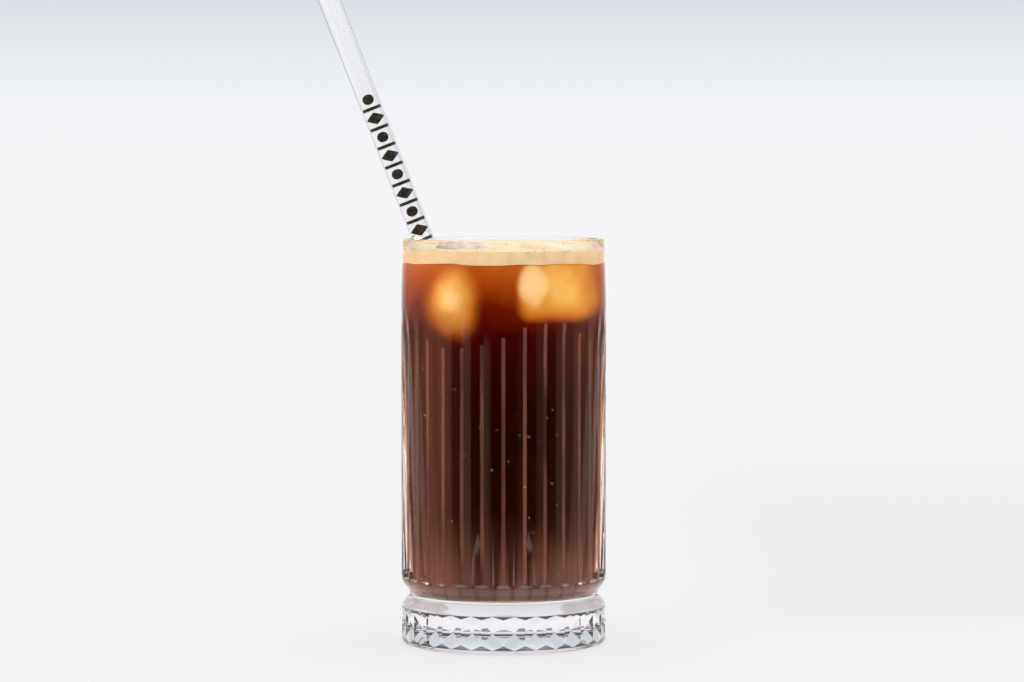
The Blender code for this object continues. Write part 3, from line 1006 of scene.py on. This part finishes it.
# Water beads and foam bubbles.
# Small drops of condensed water, none wider than a millimetre, cling to the outside of the glass, and
# single bubbles about as large stand on the foam.
def scatter_tree(name):
    """Sets small balls on the faces of a mesh inside a band of heights and keeps only the balls."""
    tree, given, made = geometry_tree(
        name,
        {
            "Lowest": "Float",
            "Highest": "Float",
            "Smallest Radius": "Float",
            "Per Square Metre": "Float",
            "Small": "Float",
            "Large": "Float",
            "Flatness": "Float",
            "Seed": "Int",
            "Material": "Material",
        },
    )
    link = tree.links.new
    position = tree.nodes.new("GeometryNodeInputPosition")
    split = tree.nodes.new("ShaderNodeSeparateXYZ")
    link(position.outputs[0], split.inputs[0])
    square_x = times(tree, split.outputs["X"], split.outputs["X"])
    square_y = times(tree, split.outputs["Y"], split.outputs["Y"])
    radius = math_node(tree, "SQRT", plus(tree, square_x, square_y))
    outside = math_node(tree, "GREATER_THAN", radius, given.outputs["Smallest Radius"])
    above = math_node(tree, "GREATER_THAN", split.outputs["Z"], given.outputs["Lowest"])
    below = math_node(tree, "LESS_THAN", split.outputs["Z"], given.outputs["Highest"])
    wanted = times(tree, outside, times(tree, above, below))
    spread = tree.nodes.new("GeometryNodeDistributePointsOnFaces")
    link(given.outputs["Geometry"], spread.inputs["Mesh"])
    link(wanted, spread.inputs["Selection"])
    link(given.outputs["Per Square Metre"], spread.inputs["Density"])
    link(given.outputs["Seed"], spread.inputs["Seed"])
    ball = tree.nodes.new("GeometryNodeMeshIcoSphere")
    ball.inputs["Radius"].default_value = 1.0
    ball.inputs["Subdivisions"].default_value = 3
    size = tree.nodes.new("FunctionNodeRandomValue")
    size.data_type = "FLOAT"
    link(given.outputs["Small"], size.inputs[2])
    link(given.outputs["Large"], size.inputs[3])
    link(given.outputs["Seed"], size.inputs["Seed"])
    shape = tree.nodes.new("ShaderNodeCombineXYZ")
    link(size.outputs[1], shape.inputs["X"])
    link(size.outputs[1], shape.inputs["Y"])
    link(times(tree, size.outputs[1], given.outputs["Flatness"]), shape.inputs["Z"])
    places = spread.outputs
    balls = real_copies(tree, places["Points"], ball.outputs[0], places["Rotation"], shape.outputs[0])
    return hand_out(tree, balls, given, made)


def water_material():
    material, tree, shader = new_material("water_bead")
    shader.inputs["Base Color"].default_value = (1.0, 1.0, 1.0, 1.0)
    shader.inputs["Roughness"].default_value = 0.0
    shader.inputs["IOR"].default_value = 1.33
    shader.inputs["Transmission Weight"].default_value = 1.0
    add_bump(tree, shader, uneven(tree, 900.0, 1.0), 0.05, 0.1 * MM)
    return material


scatter = scatter_tree("scattered_balls")
water = water_material()
beads = run_tree(
    new_object("bead_ground", glass.data.copy()),
    scatter,
    {
        "Lowest": FLUTE_FOOT_Z + 6.0 * MM,
        "Highest": FLUTE_FADE_Z,
        "Smallest Radius": GLASS_RADIUS - 1.2 * MM,
        "Per Square Metre": 9000.0,
        "Small": 0.14 * MM,
        "Large": 0.46 * MM,
        "Flatness": 0.55,
        "Seed": 7,
        "Material": water,
    },
    "water_beads",
)
one_material(beads, water)
beads.data.shade_smooth()
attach(beads, "root")
bubbles = run_tree(
    new_object("bubble_ground", foam.data.copy()),
    scatter,
    {
        "Lowest": FOAM_TOP_Z - 0.05 * MM,
        "Highest": FOAM_TOP_Z + 0.05 * MM,
        "Smallest Radius": 1.0 * MM,
        "Per Square Metre": 60000.0,
        "Small": 0.12 * MM,
        "Large": 0.6 * MM,
        "Flatness": 0.7,
        "Seed": 3,
        "Material": foam.data.materials[0],
    },
    "foam_bubbles",
)
one_material(bubbles, foam.data.materials[0])
bubbles.data.shade_smooth()
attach(bubbles, "root")


# Studio.
# A pale table that runs out into a pale backdrop, with soft light from above, from behind and from both
# sides. What glass mirrors from the front is dark, as in front of a camera.
FLOOR_RADIUS = 4.0
FLOOR_FRONT = 0.5
FLOOR_DROP = 0.3 * MM
MIRRORED_WIDTH = 0.25
MIRRORED_DEPTH = 0.5
FLOOR_COLOUR = (0.17, 0.17, 0.173, 1.0)
FLOOR_GLOW = 0.86
FLOOR_SHADE = 0.07
FLOOR_TINT = (0.995, 0.985, 1.0)
FLOOR_LIFT_IN_DRINK = 3.0
FLOOR_LIFT_MIRRORED = 0.3
LIGHT_BEHIND_GLASS = 4.2
LIGHT_IN_DRINK = 8.5
BACKDROP_TONES = ((0.0, (0.92, 0.915, 0.935)), (0.45, (0.87, 0.885, 0.91)), (1.0, (0.68, 0.73, 0.775)))
LIGHTS_AROUND = (
    (-180, 1.0, 0.0), (-165, 0.9, 0.0), (-140, 0.45, 0.8), (-120, 0.5, 1.0), (-50, 0.7, 1.0),
    (-38, 0.03, 1.0), (38, 0.02, 1.0), (55, 0.25, 1.0), (90, 0.4, 1.0), (140, 0.4, 0.8),
    (165, 0.9, 0.0), (180, 1.0, 0.0),
)
CAMERA_DISTANCE = 1.25
CAMERA_HEIGHT = 0.172
CAMERA_SIDE = 0.0031
CAMERA_TILT = math.radians(2.75)
CAMERA_LENS = 118.6


def floor_material():
    """A pale table that glows a little, with a soft painted shadow of the glass to the right, and fades out
    at its edge.
    """
    material, tree, shader = new_material("pale_table")
    shader.inputs["Base Color"].default_value = FLOOR_COLOUR
    shader.inputs["Roughness"].default_value = 0.5
    shader.inputs["Specular IOR Level"].default_value = 0.0
    coordinates = tree.nodes.new("ShaderNodeTexCoord")
    length = tree.nodes.new("ShaderNodeVectorMath")
    length.operation = "LENGTH"
    tree.links.new(coordinates.outputs["Object"], length.inputs[0])
    fade = graded(tree, length.outputs["Value"], FLOOR_RADIUS - 0.1, FLOOR_RADIUS * 0.3)
    split = tree.nodes.new("ShaderNodeSeparateXYZ")
    tree.links.new(coordinates.outputs["Object"], split.inputs[0])
    ahead = math_node(tree, "DIVIDE", math_node(tree, "ABSOLUTE", split.outputs["Y"]), MIRRORED_DEPTH)
    beside = math_node(tree, "DIVIDE", math_node(tree, "ABSOLUTE", split.outputs["X"]), MIRRORED_WIDTH)
    beyond = math_node(tree, "GREATER_THAN", plus(tree, ahead, beside), 1.0)
    path = tree.nodes.new("ShaderNodeLightPath")
    no_refraction = math_node(tree, "SUBTRACT", 1.0, path.outputs["Is Transmission Ray"])
    mirrored = times(tree, path.outputs["Is Glossy Ray"], no_refraction)
    shown = math_node(tree, "SUBTRACT", fade, times(tree, beyond, mirrored))
    tree.links.new(math_node(tree, "MAXIMUM", shown, 0.0), shader.inputs["Alpha"])
    in_drink = math_node(tree, "GREATER_THAN", path.outputs["Transmission Depth"], 5.5)
    lift = times(tree, in_drink, FLOOR_LIFT_IN_DRINK)
    lift = plus(tree, lift, times(tree, mirrored, FLOOR_LIFT_MIRRORED))
    # Painted shadow of the glass, to the right of it and behind it.
    to_right = graded(tree, split.outputs["X"], 0.02, 0.16)
    from_glass = graded(tree, split.outputs["Y"], -0.02, 0.12)
    far = graded(tree, split.outputs["Y"], 1.2, 0.3)
    shade = times(tree, times(tree, to_right, from_glass), far)
    even = math_node(tree, "SUBTRACT", FLOOR_GLOW, times(tree, shade, FLOOR_SHADE))
    bright = plus(tree, lift, even)
    glow = tree.nodes.new("ShaderNodeCombineColor")
    for socket, tint in zip(glow.inputs, FLOOR_TINT):
        tree.links.new(times(tree, bright, tint), socket)
    tree.links.new(glow.outputs[0], shader.inputs["Emission Color"])
    shader.inputs["Emission Strength"].default_value = 0.8
    return material


floor_build = bmesh.new()
edge = []
for i in range(128):
    angle = 2.0 * math.pi * i / 128
    place = (FLOOR_RADIUS * math.cos(angle), max(FLOOR_RADIUS * math.sin(angle), -FLOOR_FRONT), -FLOOR_DROP)
    edge.append(floor_build.verts.new(place))
floor_build.faces.new(edge)
table = object_from(floor_build, "table")
table.data.materials.append(floor_material())


def background(tree, colour, strength=1.0):
    node = tree.nodes.new("ShaderNodeBackground")
    tree.links.new(colour, node.inputs["Color"])
    if isinstance(strength, float):
        node.inputs["Strength"].default_value = strength
    else:
        tree.links.new(strength, node.inputs["Strength"])
    return node.outputs[0]


def either(tree, share, first, second):
    """The second shader where the share is 1, else the first."""
    node = tree.nodes.new("ShaderNodeMixShader")
    for socket, value in zip(node.inputs, (share, first, second)):
        tree.links.new(value, socket)
    return node.outputs[0]


def studio_world():
    """A pale backdrop where it is seen, and soft lights round the glass for what it mirrors."""
    world = bpy.data.worlds.new("studio")
    bpy.context.scene.world = world
    world.use_nodes = True
    tree = world.node_tree
    tree.nodes.clear()
    coordinates = tree.nodes.new("ShaderNodeTexCoord")
    split = tree.nodes.new("ShaderNodeSeparateXYZ")
    tree.links.new(coordinates.outputs["Generated"], split.inputs[0])
    path = tree.nodes.new("ShaderNodeLightPath")
    refracted = path.outputs["Is Transmission Ray"]
    depth = path.outputs["Transmission Depth"]

    flatter = math_node(tree, "SUBTRACT", 1.0, times(tree, refracted, 0.6))
    height = times(tree, split.outputs["Z"], flatter)
    backdrop = coloured(tree, graded(tree, height, 0.0, 0.055, smooth=False), BACKDROP_TONES)
    dimmed = math_node(tree, "SUBTRACT", 1.0, times(tree, refracted, 0.08))
    seen = background(tree, backdrop, dimmed)

    forward = times(tree, split.outputs["Y"], -1.0)
    azimuth = math_node(tree, "ARCTAN2", split.outputs["X"], forward)
    stops = []
    for degrees, level, warmth in LIGHTS_AROUND:
        colour = (level, level * (1.0 - 0.35 * warmth), level * (1.0 - 0.5 * warmth))
        stops.append(((degrees + 180.0) / 360.0, colour))
    around = coloured(tree, graded(tree, azimuth, -math.pi, math.pi, smooth=False), stops)
    overhead = graded(tree, split.outputs["Z"], 0.38, 0.55)
    lit = background(tree, mixed(tree, overhead, around, (1.6, 1.6, 1.62)))

    filled = mixed(tree, 1.0, around, (0.45, 0.44, 0.42), "ADD")
    thin = math_node(tree, "LESS_THAN", depth, 3.5)
    deep = math_node(tree, "GREATER_THAN", depth, 5.5)
    behind_glass = times(tree, thin, LIGHT_BEHIND_GLASS - 1.0)
    in_drink = times(tree, deep, LIGHT_IN_DRINK - 1.0)
    strength = plus(tree, plus(tree, behind_glass, in_drink), 1.0)
    inside = background(tree, filled, strength)

    shallow = math_node(tree, "LESS_THAN", depth, 4.5)
    rearward = math_node(tree, "GREATER_THAN", split.outputs["Y"], -0.2)
    clear_view = times(tree, refracted, math_node(tree, "MAXIMUM", rearward, shallow))
    direct = math_node(tree, "MAXIMUM", path.outputs["Is Camera Ray"], clear_view)
    scattered = math_node(tree, "GREATER_THAN", path.outputs["Diffuse Depth"], 0.5)
    shining_in = times(tree, refracted, scattered)
    output = tree.nodes.new("ShaderNodeOutputWorld")
    surface = either(tree, shining_in, either(tree, direct, lit, seen), inside)
    tree.links.new(surface, output.inputs["Surface"])


studio_world()

camera_data = bpy.data.cameras.new("camera")
camera_data.lens = CAMERA_LENS
camera_data.sensor_width = 36.0
camera_data.clip_start = 0.05
camera_data.clip_end = 50.0
camera = new_object("camera", camera_data)
camera.location = (CAMERA_SIDE, -CAMERA_DISTANCE, CAMERA_HEIGHT)
camera.rotation_euler = (math.pi / 2 - CAMERA_TILT, 0.0, 0.0)
bpy.context.scene.camera = camera
bpy.context.scene.view_settings.view_transform = "Standard"
